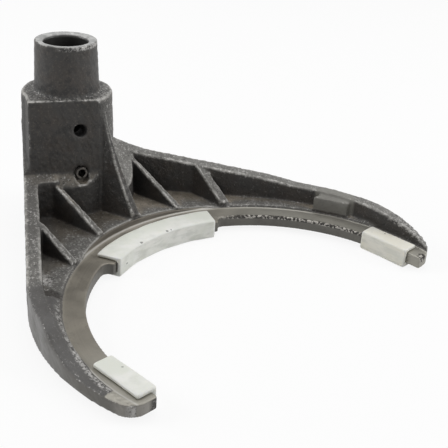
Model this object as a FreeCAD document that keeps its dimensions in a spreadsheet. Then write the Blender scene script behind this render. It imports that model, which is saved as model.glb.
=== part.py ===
import FreeCAD, Part
import math
import os
import Sketcher

# Shift fork for a drivetrain: a sand-cast fork with a tubular hub, three clip-on
# plastic wear pads and a spring pin. Origin on the rail bore axis at the hub's
# bottom face, +Z up the bore, +X from the hub towards the open mouth of the fork.

SIZES = {
    # rail bore and hub
    "bore_radius": 8.0,
    "bore_chamfer": 1.0,
    "hub_radius": 17.0,
    "hub_shoulder_radius": 16.6,
    "hub_straight_height": 38.6,
    "shoulder_height": 51.8,
    "neck_base_radius": 11.85,
    "neck_top_radius": 11.2,
    "hub_height": 70.3,
    "neck_blend_radius": 1.5,
    "shoulder_edge_radius": 0.8,
    # flat front face of the hub, with its squared corner and the ledge under it
    "flat_offset": 13.4,
    "flat_turn": -30.0,
    "flat_bottom": 23.6,
    "flat_right_end": 10.0,
    "ledge_fall": 2.0,
    "pin_ledge_fall": 4.5,
    "pin_ledge_reach": 5.5,
    "corner_reach": 15.9,
    # cross holes through the flat
    "cross_hole_radius": 2.25,
    "cross_hole_turn": -17.0,
    "upper_hole_height": 40.0,
    "lower_hole_height": 23.6,
    "pin_recess_radius": 2.4,
    "pin_recess_drop": 1.4,
    "pin_recess_depth": 0.4,
    # plate of the fork, and the sleeve ring that the fork straddles
    "plate_lift": 1.6,
    "plate_thickness": 4.35,
    "floor_thickness": 5.4,
    "fork_offset": 7.0,
    "ring_distance": 102.9,
    "ring_outer_radius": 69.8,
    "ring_width": 7.8,
    "ring_corner_radius": 1.0,
    # crescent of clearance that is cut into the floor beside the ring
    "clearance_reach": 3.3,
    "clearance_radius": 50.1,
    "clearance_depth": 0.6,
    # outline of the fork
    "outer_distance": 92.6,
    "arm_wall": 4.4,
    "near_tip_reach": 114.2,
    "far_tip_reach": 117.6,
    "tip_corner_radius": 6.5,
    # ridge along the outline, and how its height runs along the fork
    "ridge_width": 5.0,
    "ridge_height": 14.0,
    "far_blend_height": 34.0,
    "far_blend_end": -8.0,
    "far_blend_radius": 36.0,
    "far_slope_start": 12.0,
    "far_slope_height": 22.7,
    "far_level_start": 57.0,
    "far_fall_start": 85.0,
    "far_fall_radius": 80.0,
    "near_rise_radius": 175.0,
    "near_level_start": 66.0,
    "near_fall_start": 70.0,
    "near_fall_middle": 80.0,
    "near_fall_drop": 3.5,
    "near_fall_end": 97.0,
    # ribs from the ridge and the hub down to the ring: place, run, and heights at both ends
    "rib_draft": 2.5,
    "outer_near_rib_foot": -32.0,
    "outer_near_rib_turn": 13.0,
    "outer_near_rib_width": 3.6,
    "outer_near_rib_run": 13.5,
    "outer_near_rib_low": 7.8,
    "outer_near_rib_high": 17.2,
    "inner_near_rib_foot": -14.0,
    "inner_near_rib_turn": 8.7,
    "inner_near_rib_width": 3.6,
    "inner_near_rib_run": 25.0,
    "inner_near_rib_low": 6.9,
    "inner_near_rib_high": 21.1,
    "inner_far_rib_foot": 17.2,
    "inner_far_rib_turn": 9.5,
    "inner_far_rib_width": 3.6,
    "inner_far_rib_run": 25.9,
    "inner_far_rib_low": 6.2,
    "inner_far_rib_high": 21.6,
    "outer_far_rib_foot": 31.5,
    "outer_far_rib_turn": 2.0,
    "outer_far_rib_width": 5.2,
    "outer_far_rib_run": 13.5,
    "outer_far_rib_low": 8.2,
    "outer_far_rib_high": 18.4,
    # thick root of the far arm, between the gusset and the ridge
    "root_radius": 24.6,
    # solid stretches of the arms
    "block_foot_height": 7.5,
    "block_slope": 27.5,
    "near_block_start": 57.0,
    "far_block_start": 68.0,
    "far_block_end": 80.5,
    "far_block_height": 12.7,
    # steep gusset on the hub
    "gusset_turn": 19.4,
    "gusset_shift": -1.3,
    "gusset_width": 5.0,
    "gusset_draft": 2.0,
    "gusset_height": 45.0,
    "gusset_gap": 2.1,
    "gusset_foot_height": 8.6,
    "gusset_bow_radius": 220.0,
    # lugs that carry the pads
    "centre_lug_depth": 11.4,
    "centre_lug_half_angle": 26.0,
    "lug_blend_radius": 3.0,
    "tip_lug_depth": 7.6,
    # pads
    "pad_wall": 1.7,
    "pad_clearance": 0.05,
    "pad_edge_radius": 0.6,
    "centre_pad_gap": 3.6,
    "centre_pad_half_angle": 24.2,
    "tip_pad_gap": 2.25,
    "tip_pad_start": 92.2,
    "tip_pad_length": 20.0,
    # spring pin
    "pin_clearance": 0.05,
    "pin_wall": 0.75,
    "pin_slot": 0.6,
    "pin_length": 5.6,
    "pin_proud": 0.9,
}

# How far past the solid a cut is carried, so that it leaves no skin.
PAST = "10"
FAR_ABOVE = "90"

doc = FreeCAD.newDocument("shift_fork")
sheet = doc.addObject("Spreadsheet::Sheet", "sizes")
for row, (alias, size) in enumerate(SIZES.items(), start=1):
    sheet.set("A%d" % row, alias)
    sheet.set("B%d" % row, str(size))
    sheet.setAlias("B%d" % row, alias)
doc.recompute()


def value(text):
    """The number that a formula on the sheet gives now."""
    result = sheet.evalExpression(text)
    return float(getattr(result, "Value", result))


def degrees(text):
    """A plain number from the sheet, read as an angle."""
    return "(%s) * 1 deg" % text


def polar(radius, angle, centre=("0", "0")):
    """Formulas for a point at a radius and an angle about a centre."""
    across = "%s + (%s) * cos(%s)" % (centre[0], radius, angle)
    along = "%s + (%s) * sin(%s)" % (centre[1], radius, angle)
    return across, along


# Radii about the ring's axis and the outline's axis, all measured from the ring's outer wall.
RING_INNER = "(sizes.ring_outer_radius - sizes.ring_width)"
CENTRE_LUG = "(sizes.ring_outer_radius - sizes.centre_lug_depth)"
TIP_LUG = "(sizes.ring_outer_radius - sizes.tip_lug_depth)"
RIM = "(sizes.ring_outer_radius + sizes.arm_wall)"

RING = ("sizes.ring_distance", "sizes.fork_offset")
OUTER = ("sizes.outer_distance", "sizes.fork_offset")
AIM = "atan2(sizes.fork_offset; sizes.outer_distance)"
SPREAD = (
    "asin((" + RIM + " - sizes.hub_radius)"
    " / hypot(sizes.outer_distance; sizes.fork_offset))"
)
NEAR_NORMAL = "(%s - %s - 90 deg)" % (AIM, SPREAD)
FAR_NORMAL = "(%s + %s + 90 deg)" % (AIM, SPREAD)
FLAT = degrees("sizes.flat_turn")
PLATE_TOP = "sizes.plate_lift + sizes.plate_thickness"
FLOOR_TOP = "sizes.plate_lift + sizes.floor_thickness"
PIN_RADIUS = "sizes.cross_hole_radius - sizes.pin_clearance"
# Where the cross holes' centre line comes out of the flat, measured from the bore axis.
PIN_MOUTH = "sizes.flat_offset / cos((sizes.flat_turn - sizes.cross_hole_turn) * 1 deg)"


def new_body(label):
    """An empty body whose label names the piece."""
    body = doc.addObject("PartDesign::Body", label)
    body.Label = label
    return body


def new_sketch(body, name, role="XY_Plane", lift="0", turn="0"):
    """A sketch on one of the body's own planes, moved along its normal and turned about +Z."""
    sketch = body.newObject("Sketcher::SketchObject", name)
    plane = [item for item in body.Origin.OriginFeatures if item.Role == role][0]
    sketch.AttachmentSupport = [(plane, "")]
    sketch.MapMode = "FlatFace"
    upright = FreeCAD.Vector(0, 0, 1) if role == "XY_Plane" else FreeCAD.Vector(0, 1, 0)
    angle = value(turn)
    spin = FreeCAD.Rotation(upright, angle)
    normal = spin.multVec(FreeCAD.Vector(0, 0, value(lift)))
    sketch.AttachmentOffset = FreeCAD.Placement(normal, spin)
    if angle:
        sketch.setExpression(".AttachmentOffset.Rotation.Angle", degrees(turn))
    shift = ("0", "0", lift)
    if angle:
        shift = ("(%s) * sin(%s)" % (lift, degrees(turn)), "0", "(%s) * cos(%s)" % (lift, degrees(turn)))
    for axis, text in zip("xyz", shift):
        sketch.setExpression(".AttachmentOffset.Base." + axis, text)
    return sketch


def hold(sketch, kind, geometry, text):
    """Adds a constraint and binds it to a formula."""
    index = sketch.addConstraint(Sketcher.Constraint(kind, *geometry, value(text)))
    sketch.setExpression("Constraints[%d]" % index, text)


def hold_point(sketch, edge, end, point):
    """Holds one end of an edge at a point given by two formulas."""
    hold(sketch, "DistanceX", (-1, 1, edge, end), point[0])
    hold(sketch, "DistanceY", (-1, 1, edge, end), point[1])


def arc_between(start, finish, radius, side):
    """The arc from start to finish with its centre to the left or right, and its end numbers."""
    chord = finish - start
    rise = math.sqrt(max(radius * radius - chord.Length * chord.Length / 4, 0))
    left = FreeCAD.Vector(-chord.y, chord.x, 0).normalize()
    hand = 1 if side == "left" else -1
    centre = (start + finish) * 0.5 + left * rise * hand
    circle = Part.Circle(centre, FreeCAD.Vector(0, 0, 1), radius)
    first, last = (start, finish) if hand > 0 else (finish, start)
    begin = circle.parameter(first)
    end = circle.parameter(last)
    arc = Part.ArcOfCircle(circle, begin, end if end > begin else end + 2 * math.pi)
    return arc, (1, 2) if hand > 0 else (2, 1)


def outline_wire(sketch, corners):
    """Draws a closed outline. A corner is (x, y), or (x, y, radius, side) where an arc leaves it."""
    points = [FreeCAD.Vector(value(corner[0]), value(corner[1]), 0) for corner in corners]
    edges = []
    for number, corner in enumerate(corners):
        start = points[number]
        finish = points[(number + 1) % len(points)]
        if len(corner) == 2:
            edges.append((sketch.addGeometry(Part.LineSegment(start, finish)), 1, 2))
        else:
            arc, ends = arc_between(start, finish, value(corner[2]), corner[3])
            edges.append((sketch.addGeometry(arc), *ends))
            hold(sketch, "Radius", (edges[-1][0],), corner[2])
    for number, (edge, first, last) in enumerate(edges):
        hold_point(sketch, edge, first, corners[number])
        following = edges[(number + 1) % len(edges)]
        sketch.addConstraint(Sketcher.Constraint("Coincident", edge, last, following[0], following[1]))


def circle(sketch, centre, radius):
    """Draws a circle."""
    middle = FreeCAD.Vector(value(centre[0]), value(centre[1]), 0)
    edge = sketch.addGeometry(Part.Circle(middle, FreeCAD.Vector(0, 0, 1), value(radius)))
    hold(sketch, "Radius", (edge,), radius)
    hold_point(sketch, edge, 3, centre)


def upright_axis(sketch, place):
    """Adds an upright construction line that a revolved feature turns about."""
    at = value(place)
    line = Part.LineSegment(FreeCAD.Vector(at, 0, 0), FreeCAD.Vector(at, 1, 0))
    edge = sketch.addGeometry(line, True)
    hold_point(sketch, edge, 1, (place, "0"))
    hold_point(sketch, edge, 2, (place, "1"))
    return sketch, ["Axis0"]


def add_pad(body, sketch, length, draft=None):
    """Raises a sketch into a solid, narrowing upwards by the draft."""
    feature = body.newObject("PartDesign::Pad", sketch.Name + "_pad")
    feature.Profile = sketch
    feature.setExpression("Length", length)
    if draft:
        feature.setExpression("TaperAngle", "-(%s)" % draft)
    return settle(body, feature, sketch, 1)


def add_pocket(body, sketch, length=None, reverse=False, both=False):
    """Cuts a sketch out of the body, to a length or right through."""
    feature = body.newObject("PartDesign::Pocket", sketch.Name + "_pocket")
    feature.Profile = sketch
    feature.Reversed = reverse
    feature.Midplane = both
    if length:
        feature.setExpression("Length", length)
    else:
        feature.Type = "ThroughAll"
    return settle(body, feature, sketch, -1)


def add_turned(body, sketch, axis, cut, angle="360", both=False):
    """Revolves a sketch about an upright axis, as solid or as a cut."""
    kind = "PartDesign::Groove" if cut else "PartDesign::Revolution"
    feature = body.newObject(kind, sketch.Name + ("_groove" if cut else "_turned"))
    feature.Profile = sketch
    feature.ReferenceAxis = axis
    feature.setExpression("Angle", angle)
    feature.Midplane = both
    return settle(body, feature, sketch, -1 if cut else 1)


def settle(body, feature, sketch, sign):
    """Recomputes, checks that the feature changed the volume the right way, and returns it."""
    before = settled.get(body.Name, 0.0)
    sketch.Visibility = False
    doc.recompute()
    after = feature.Shape.Volume
    print("%-34s %10.1f %s" % (feature.Name, after, feature.State))
    if (after - before) * sign <= 0:
        raise ValueError("%s changes nothing" % feature.Name)
    settled[body.Name] = after
    return feature


settled = {}


def chosen_edges(shape, test):
    """Names of the edges whose middle point passes a test."""
    names = []
    for number, edge in enumerate(shape.Edges, start=1):
        if edge.Degenerated:
            continue
        middle = edge.valueAt((edge.FirstParameter + edge.LastParameter) / 2)
        if test(middle, edge):
            names.append("Edge%d" % number)
    return names


def round_edges(body, name, radius, test, count):
    """Rounds the edges that pass a test, and stops if they aren't as many as expected."""
    base = body.Tip
    names = chosen_edges(base.Shape, test)
    if len(names) != count:
        raise ValueError("%s finds %d edges" % (name, len(names)))
    feature = body.newObject("PartDesign::Fillet", name)
    feature.Base = (base, names)
    feature.setExpression("Radius", radius)
    doc.recompute()
    print("%-34s %10.1f %s" % (feature.Name, feature.Shape.Volume, feature.State))
    return feature


def is_near(first, second):
    """Whether two lengths agree."""
    return abs(first - second) < 0.01


def upright_at(point):
    """A test for the upright edge that stands over a point given by two formulas."""
    across, along = value(point[0]), value(point[1])

    def test(middle, edge):
        straight = is_near(edge.Length, abs(edge.Vertexes[0].Z - edge.Vertexes[-1].Z))
        return straight and is_near(middle.x, across) and is_near(middle.y, along)

    return test


def rim(inset):
    """The outer edge of the fork, moved inwards: near tip, round the hub, far tip."""
    radius = "%s - (%s)" % (RIM, inset)
    hub = "sizes.hub_radius - (%s)" % inset
    near = on_rim("sizes.near_tip_reach", inset, -1)
    far = on_rim("sizes.far_tip_reach", inset, 1)
    return near, radius, hub, far


def on_rim(reach, inset, side):
    """Formulas for the point of the outer arc at a distance along the fork, on one side."""
    radius = "%s - (%s)" % (RIM, inset)
    half = "sqrt((%s)^2 - (%s - sizes.outer_distance)^2)" % (radius, reach)
    return reach, "sizes.fork_offset + (%d) * %s" % (side, half)


def outer_edge():
    """The fork's outer edge from the near tip, round the hub, to the far tip."""
    near, radius, hub, far = rim("0")
    return [
        (*near, radius, "right"),
        polar(radius, NEAR_NORMAL, OUTER),
        (*polar(hub, NEAR_NORMAL), hub, "right"),
        polar(hub, FAR_NORMAL),
        (*polar(radius, FAR_NORMAL, OUTER), radius, "right"),
        far,
    ]


def fork_outline():
    """The whole fork seen from above, closed across its mouth."""
    return outer_edge() + [
        ("sizes.far_tip_reach", "sizes.fork_offset"),
        ("sizes.near_tip_reach", "sizes.fork_offset"),
    ]


def ridge_outline():
    """The band along the outer edge that rises into the ridge."""
    near_in, radius_in, hub_in, far_in = rim("sizes.ridge_width")
    return outer_edge() + [
        (*far_in, radius_in, "left"),
        polar(radius_in, FAR_NORMAL, OUTER),
        (*polar(hub_in, FAR_NORMAL), hub_in, "left"),
        polar(hub_in, NEAR_NORMAL),
        (*polar(radius_in, NEAR_NORMAL, OUTER), radius_in, "left"),
        near_in,
    ]


def tip_corner(reach, side):
    """What the rounding of a tip's outer corner takes away, seen from above."""
    inner = "(%s - sizes.tip_corner_radius)" % RIM
    run = "(%s - sizes.tip_corner_radius - sizes.outer_distance)" % reach
    half = "sqrt(%s^2 - %s^2)" % (inner, run)

    def on_line(radius):
        stretch = "(%s) / %s" % (radius, inner)
        along = "sizes.fork_offset + (%d) * %s * %s" % (side, half, stretch)
        return "sizes.outer_distance + %s * %s" % (run, stretch), along

    end = "sizes.fork_offset + (%d) * %s" % (side, half)
    beyond = on_line(RIM + " + " + PAST)
    return [
        (*on_line(RIM), "sizes.tip_corner_radius", "left" if side < 0 else "right"),
        (reach, end),
        (reach + " + " + PAST, end),
        (reach + " + " + PAST, beyond[1]),
        beyond,
    ]


def rib_foot(name):
    """Where a rib's centre line meets the ring's outer wall."""
    return polar("sizes.ring_outer_radius", "180 deg - %s" % degrees("sizes.%s_foot" % name), RING)


def rib_outline(name):
    """A straight rib: its foot on the ring, its head inside the ridge or the hub."""
    foot = rib_foot(name)
    turn = "(180 deg + %s)" % degrees("sizes.%s_turn" % name)
    head = polar("sizes.%s_run + sizes.ridge_width" % name, turn, foot)
    half = "sizes.%s_width / 2" % name
    return [
        polar(half, turn + " + 90 deg", foot),
        polar(half, turn + " - 90 deg", foot),
        polar(half, turn + " - 90 deg", head),
        polar(half, turn + " + 90 deg", head),
    ]


def slope_rib(body, name, width):
    """Cuts a rib's top to its slope, over a width that is centred on the rib."""
    foot = rib_foot(name)
    turn = degrees("sizes.%s_turn" % name)
    aside = "(%s) * sin(%s) - (%s) * cos(%s)" % (foot[0], turn, foot[1], turn)
    start = "((%s) * cos(%s) + (%s) * sin(%s))" % (foot[0], turn, foot[1], turn)
    low = "sizes.%s_low" % name
    slope = "((sizes.%s_high - %s) / sizes.%s_run)" % (name, low, name)
    skip = "max(0; (%s - %s) / %s)" % (FLOOR_TOP, low, slope)
    end = "(sizes.%s_run + 2 * sizes.ridge_width)" % name
    sketch = new_sketch(body, name + "_top", "XZ_Plane", aside, "sizes.%s_turn" % name)
    outline_wire(sketch, [
        ("%s - %s" % (start, skip), "%s + %s * %s" % (low, skip, slope)),
        ("%s - %s" % (start, end), "%s + %s * %s" % (low, end, slope)),
        ("%s - %s" % (start, end), FAR_ABOVE),
        ("%s - %s" % (start, skip), FAR_ABOVE),
    ])
    add_pocket(body, sketch, width, both=True)


def block_outline(start, end, side):
    """A solid stretch of an arm, from inside the ridge to inside the ring."""
    inset = "sizes.ridge_width / 2"
    inner = "sizes.fork_offset + (%d) * (%s - 12)" % (side, RING_INNER)
    hand = "left" if side < 0 else "right"
    return [
        (*on_rim(start, inset, side), "%s - %s" % (RIM, inset), hand),
        on_rim(end, inset, side),
        (end, inner),
        (start, inner),
    ]


def ridge_profile(side):
    """What is cut away above the ridge of one arm, seen from the side."""
    start = "-sizes.hub_radius - 1"
    if side > 0:
        run = "(sizes.far_tip_reach + 5 - sizes.far_fall_start)"
        drop = "(sizes.far_fall_radius - sqrt(sizes.far_fall_radius^2 - %s^2))" % run
        end = "sizes.far_tip_reach + 5"
        return [
            (start, FAR_ABOVE),
            (start, "sizes.far_blend_height"),
            ("sizes.far_blend_end", "sizes.far_blend_height", "sizes.far_blend_radius", "left"),
            ("sizes.far_slope_start", "sizes.far_slope_height"),
            ("sizes.far_level_start", "sizes.ridge_height"),
            ("sizes.far_fall_start", "sizes.ridge_height", "sizes.far_fall_radius", "right"),
            (end, "sizes.ridge_height - " + drop),
            (end, FAR_ABOVE),
        ]
    rise_run = "(sizes.near_level_start - (%s))" % start
    rise_height = "(sizes.near_rise_radius - sqrt(sizes.near_rise_radius^2 - %s^2))" % rise_run
    first_run = "(sizes.near_fall_middle - sizes.near_fall_start)"
    first_radius = "((%s^2 + sizes.near_fall_drop^2) / 2 / sizes.near_fall_drop)" % first_run
    second_run = "(sizes.near_fall_end - sizes.near_fall_middle)"
    second_drop = "(sizes.ridge_height - sizes.near_fall_drop - (%s))" % PLATE_TOP
    second_radius = "((%s^2 + %s^2) / 2 / %s)" % (second_run, second_drop, second_drop)
    return [
        (start, FAR_ABOVE),
        (start, "sizes.ridge_height + " + rise_height, "sizes.near_rise_radius", "left"),
        ("sizes.near_level_start", "sizes.ridge_height"),
        ("sizes.near_fall_start", "sizes.ridge_height", first_radius, "right"),
        ("sizes.near_fall_middle", "sizes.ridge_height - sizes.near_fall_drop", second_radius, "left"),
        ("sizes.near_fall_end", PLATE_TOP),
        ("sizes.near_tip_reach + 5", PLATE_TOP),
        ("sizes.near_tip_reach + 5", FAR_ABOVE),
    ]


def make_casting():
    """The casting: floor, ribs, ridge, hub, then everything that is machined."""
    body = new_body("fork_casting")

    sketch = new_sketch(body, "floor", lift="sizes.plate_lift")
    outline_wire(sketch, fork_outline())
    add_pad(body, sketch, "sizes.floor_thickness")

    sketch = new_sketch(body, "near_block", lift="sizes.plate_lift")
    outline_wire(sketch, block_outline("sizes.near_block_start", "sizes.near_tip_reach", -1))
    add_pad(body, sketch, "sizes.shoulder_height / 2")

    # A cone about the ring's axis slopes the near block down to the ring.
    sketch = new_sketch(body, "block_slope", "XZ_Plane", "-sizes.fork_offset")
    wall = "sizes.ring_distance - sizes.ring_outer_radius"
    slope = "tan(%s)" % degrees("sizes.block_slope")
    inner = wall + " + 12"
    outer = wall + " - 50"
    floor_end = "%s + (sizes.block_foot_height - (%s)) / %s" % (wall, FLOOR_TOP, slope)
    outline_wire(sketch, [
        (inner, FLOOR_TOP),
        (floor_end, FLOOR_TOP),
        (outer, "sizes.block_foot_height + 50 * " + slope),
        (outer, FAR_ABOVE),
        (inner, FAR_ABOVE),
    ])
    add_turned(body, sketch, upright_axis(sketch, "sizes.ring_distance"), True)

    # The thick root of the far arm slopes with the rib beside it.
    sketch = new_sketch(body, "arm_root", lift="sizes.plate_lift")
    inside = "(sizes.hub_radius - sizes.ridge_width / 2)"
    outline_wire(sketch, [
        ("0", "0"),
        (*polar("sizes.root_radius", degrees("sizes.gusset_turn")), "sizes.root_radius", "left"),
        polar("sizes.root_radius", "%s - acos(%s / sizes.root_radius)" % (FAR_NORMAL, inside)),
        polar(inside, FAR_NORMAL),
    ])
    add_pad(body, sketch, "sizes.shoulder_height / 2")
    wide = {"inner_far_rib": "2 * sizes.root_radius"}
    for name in ("inner_far_rib", "outer_near_rib", "inner_near_rib", "outer_far_rib"):
        sketch = new_sketch(body, name, lift="sizes.plate_lift")
        outline_wire(sketch, rib_outline(name))
        add_pad(body, sketch, "sizes.shoulder_height / 2", "sizes.rib_draft")
        slope_rib(body, name, wide.get(name, "2 * sizes.%s_width" % name))

    sketch = new_sketch(body, "ridge", lift="sizes.plate_lift")
    outline_wire(sketch, ridge_outline())
    add_pad(body, sketch, "sizes.shoulder_height - 15")
    sketch = new_sketch(body, "far_block", lift="sizes.plate_lift")
    outline_wire(sketch, block_outline("sizes.far_block_start", "sizes.far_block_end", 1))
    add_pad(body, sketch, "sizes.far_block_height - sizes.plate_lift")
    for name, side in (("far_ridge_top", 1), ("near_ridge_top", -1)):
        sketch = new_sketch(body, name, "XZ_Plane", "-sizes.fork_offset")
        outline_wire(sketch, ridge_profile(side))
        add_pocket(body, sketch, reverse=side < 0)

    for name, reach, side in (
        ("far_tip_corner", "sizes.far_tip_reach", 1),
        ("near_tip_corner", "sizes.near_tip_reach", -1),
    ):
        sketch = new_sketch(body, name)
        outline_wire(sketch, tip_corner(reach, side))
        add_pocket(body, sketch, both=True)

    # The steep gusset stands under the right-hand end of the flat.
    sketch = new_sketch(body, "gusset", lift="sizes.plate_lift")
    turn = degrees("sizes.gusset_turn")
    root = polar("sizes.gusset_shift", turn + " + 90 deg")
    tail = polar("sizes.ring_distance - sizes.ring_outer_radius", turn, root)
    half = "sizes.gusset_width / 2"
    outline_wire(sketch, [
        polar(half, turn + " - 90 deg", root),
        polar(half, turn + " - 90 deg", tail),
        polar(half, turn + " + 90 deg", tail),
        polar(half, turn + " + 90 deg", root),
    ])
    add_pad(body, sketch, "sizes.gusset_height", "sizes.gusset_draft")
    sketch = new_sketch(body, "gusset_top", "XZ_Plane", turn="sizes.gusset_turn")
    reach = wall + " - sizes.gusset_gap"
    outline_wire(sketch, [
        ("sizes.hub_radius", "sizes.gusset_height", "sizes.gusset_bow_radius", "left"),
        (reach, "sizes.gusset_foot_height"),
        (wall, FLOOR_TOP),
        (wall + " + 10", FLOOR_TOP),
        (wall + " + 10", FAR_ABOVE),
        ("sizes.hub_radius", FAR_ABOVE),
    ])
    add_pocket(body, sketch, "sizes.gusset_width * 2 - 2 * sizes.gusset_shift", both=True)

    sketch = new_sketch(body, "hub", "XZ_Plane")
    soft = "sizes.shoulder_edge_radius"
    blend = "sizes.neck_blend_radius"
    outline_wire(sketch, [
        ("0", "0"),
        ("sizes.hub_radius", "0"),
        ("sizes.hub_radius", "sizes.hub_straight_height"),
        ("sizes.hub_shoulder_radius", "sizes.shoulder_height - " + soft, soft, "left"),
        ("sizes.hub_shoulder_radius - " + soft, "sizes.shoulder_height"),
        ("sizes.neck_base_radius + " + blend, "sizes.shoulder_height", blend, "right"),
        ("sizes.neck_base_radius", "sizes.shoulder_height + " + blend),
        ("sizes.neck_top_radius", "sizes.hub_height"),
        ("0", "sizes.hub_height"),
    ])
    add_turned(body, sketch, upright_axis(sketch, "0"), False)

    # The squared corner runs on from the outer edge of the near arm.
    sketch = new_sketch(body, "corner", lift="sizes.plate_lift")
    across = FLAT + " - 90 deg"
    front = polar("sizes.hub_radius", FLAT)
    outline_wire(sketch, [
        ("0", "0"),
        polar("sizes.hub_radius", NEAR_NORMAL),
        polar("sizes.corner_reach", across, front),
        front,
    ])
    add_pad(body, sketch, "sizes.shoulder_height - sizes.plate_lift", "1")

    # The flat is cut from its right-hand end towards the squared corner.
    sketch = new_sketch(body, "flat", "XZ_Plane", "-sizes.flat_right_end", "sizes.flat_turn")
    ledge = "sizes.hub_radius + 8"
    outline_wire(sketch, [
        ("sizes.flat_offset", "sizes.flat_bottom"),
        ("sizes.hub_radius", "sizes.flat_bottom - sizes.ledge_fall"),
        (ledge, "sizes.flat_bottom - sizes.ledge_fall"),
        (ledge, "sizes.hub_height"),
        ("sizes.flat_offset", "sizes.hub_height"),
    ])
    add_pocket(body, sketch, "sizes.flat_right_end + sizes.corner_reach + 10", reverse=True)

    # Round the pin the ledge falls away more steeply.
    sketch = new_sketch(body, "pin_ledge", "XZ_Plane", "-sizes.flat_right_end", "sizes.flat_turn")
    outline_wire(sketch, [
        ("sizes.flat_offset", "sizes.flat_bottom"),
        ("sizes.hub_radius", "sizes.flat_bottom - sizes.pin_ledge_fall"),
        ("sizes.hub_radius + 1", "sizes.flat_bottom - sizes.pin_ledge_fall"),
        ("sizes.hub_radius + 1", "sizes.flat_bottom"),
    ])
    add_pocket(body, sketch, "sizes.flat_right_end + sizes.pin_ledge_reach", reverse=True)

    sketch = new_sketch(body, "bore", "XZ_Plane")
    wide = "sizes.bore_radius + sizes.bore_chamfer + 1"
    outline_wire(sketch, [
        ("0", "-1"),
        (wide, "-1"),
        ("sizes.bore_radius", "sizes.bore_chamfer"),
        ("sizes.bore_radius", "sizes.hub_height - sizes.bore_chamfer"),
        (wide, "sizes.hub_height + 1"),
        ("0", "sizes.hub_height + 1"),
    ])
    add_turned(body, sketch, upright_axis(sketch, "0"), True)

    for name, height in (("upper_hole", "sizes.upper_hole_height"), ("lower_hole", "sizes.lower_hole_height")):
        sketch = new_sketch(body, name, "YZ_Plane", turn="sizes.cross_hole_turn")
        circle(sketch, ("0", height), "sizes.cross_hole_radius")
        add_pocket(body, sketch, both=True)

    seat = "%s - sizes.pin_recess_depth" % PIN_MOUTH
    sketch = new_sketch(body, "pin_recess", "YZ_Plane", seat, "sizes.cross_hole_turn")
    low = "sizes.lower_hole_height - sizes.pin_recess_drop"
    round_end = "sizes.pin_recess_radius"
    outline_wire(sketch, [
        (round_end, "sizes.lower_hole_height", round_end, "left"),
        ("0", "sizes.lower_hole_height + " + round_end, round_end, "left"),
        ("-" + round_end, "sizes.lower_hole_height"),
        ("-" + round_end, low, round_end, "left"),
        ("0", "%s - %s" % (low, round_end), round_end, "left"),
        (round_end, low),
    ])
    add_pocket(body, sketch, PAST, reverse=True)

    # The sleeve's ring face is turned about the ring's axis, the clearance about its own.
    top = PLATE_TOP
    inside = "sizes.ring_distance - %s + 15" % RING_INNER
    corner = "sizes.ring_corner_radius"
    sketch = new_sketch(body, "ring_face", "XZ_Plane", "-sizes.fork_offset")
    outline_wire(sketch, [
        (inside, top),
        ("%s + %s" % (wall, corner), top, corner, "right"),
        (wall, "%s + %s" % (top, corner)),
        (wall, "sizes.hub_height"),
        (inside, "sizes.hub_height"),
    ])
    add_turned(body, sketch, upright_axis(sketch, "sizes.ring_distance"), True)

    sketch = new_sketch(body, "clearance", "XZ_Plane", "-sizes.fork_offset")
    edge = wall + " - sizes.clearance_reach"
    outline_wire(sketch, [
        (wall + " + 1", FLOOR_TOP + " - sizes.clearance_depth"),
        (edge, FLOOR_TOP + " - sizes.clearance_depth"),
        (edge, "sizes.hub_height"),
        (wall + " + 1", "sizes.hub_height"),
    ])
    add_turned(body, sketch, upright_axis(sketch, edge + " + sizes.clearance_radius"), True)

    sketch = new_sketch(body, "throat", lift="sizes.plate_lift")
    outline_wire(sketch, throat_outline())
    add_pocket(body, sketch, both=True)

    lug = degrees("sizes.centre_lug_half_angle")
    roots = [polar(RING_INNER, "180 deg %s %s" % (sign, lug), RING) for sign in "+-"]
    for name, place in (("near_lug_blend", roots[0]), ("far_lug_blend", roots[1])):
        round_edges(body, name, "sizes.lug_blend_radius", upright_at(place), 1)
    return body


def throat_outline():
    """The open middle of the fork, leaving the three lugs."""
    mouth = "sizes.far_tip_reach + 10"
    start = "sizes.tip_pad_start - sizes.pad_clearance"
    half = "sqrt(%s^2 - (%s - sizes.ring_distance)^2)" % (RING_INNER, start)
    near_face = "sizes.fork_offset - " + TIP_LUG
    far_face = "sizes.fork_offset + " + TIP_LUG
    lug = degrees("sizes.centre_lug_half_angle")
    return [
        (mouth, near_face),
        (start, near_face),
        (start, "sizes.fork_offset - " + half, RING_INNER, "right"),
        polar(RING_INNER, "180 deg + " + lug, RING),
        (*polar(CENTRE_LUG, "180 deg + " + lug, RING), CENTRE_LUG, "right"),
        polar(CENTRE_LUG, "180 deg - " + lug, RING),
        (*polar(RING_INNER, "180 deg - " + lug, RING), RING_INNER, "right"),
        (start, "sizes.fork_offset + " + half),
        (start, far_face),
        (mouth, far_face),
    ]


def pad_section(inner, outer, root, sign, offset):
    """The C-section of a wear pad, as it grips the plate. Sign gives the way its slot opens."""
    def across(size):
        return "%s + (%d) * (%s)" % (offset, sign, size)

    gap = "sizes.pad_clearance"
    soft = "sizes.pad_edge_radius"
    hand = "left" if sign > 0 else "right"
    top = PLATE_TOP + " + sizes.plate_lift"
    return [
        (across(inner + " + " + soft), "0"),
        (across(outer + " - " + soft), "0", soft, hand),
        (across(outer), soft),
        (across(outer), "sizes.plate_lift - " + gap),
        (across(root), "sizes.plate_lift - " + gap),
        (across(root), PLATE_TOP + " + " + gap),
        (across(outer), PLATE_TOP + " + " + gap),
        (across(outer), top + " - " + soft, soft, hand),
        (across(outer + " - " + soft), top),
        (across(inner + " + " + soft), top, soft, hand),
        (across(inner), top + " - " + soft),
        (across(inner), soft, soft, hand),
    ]


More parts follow.
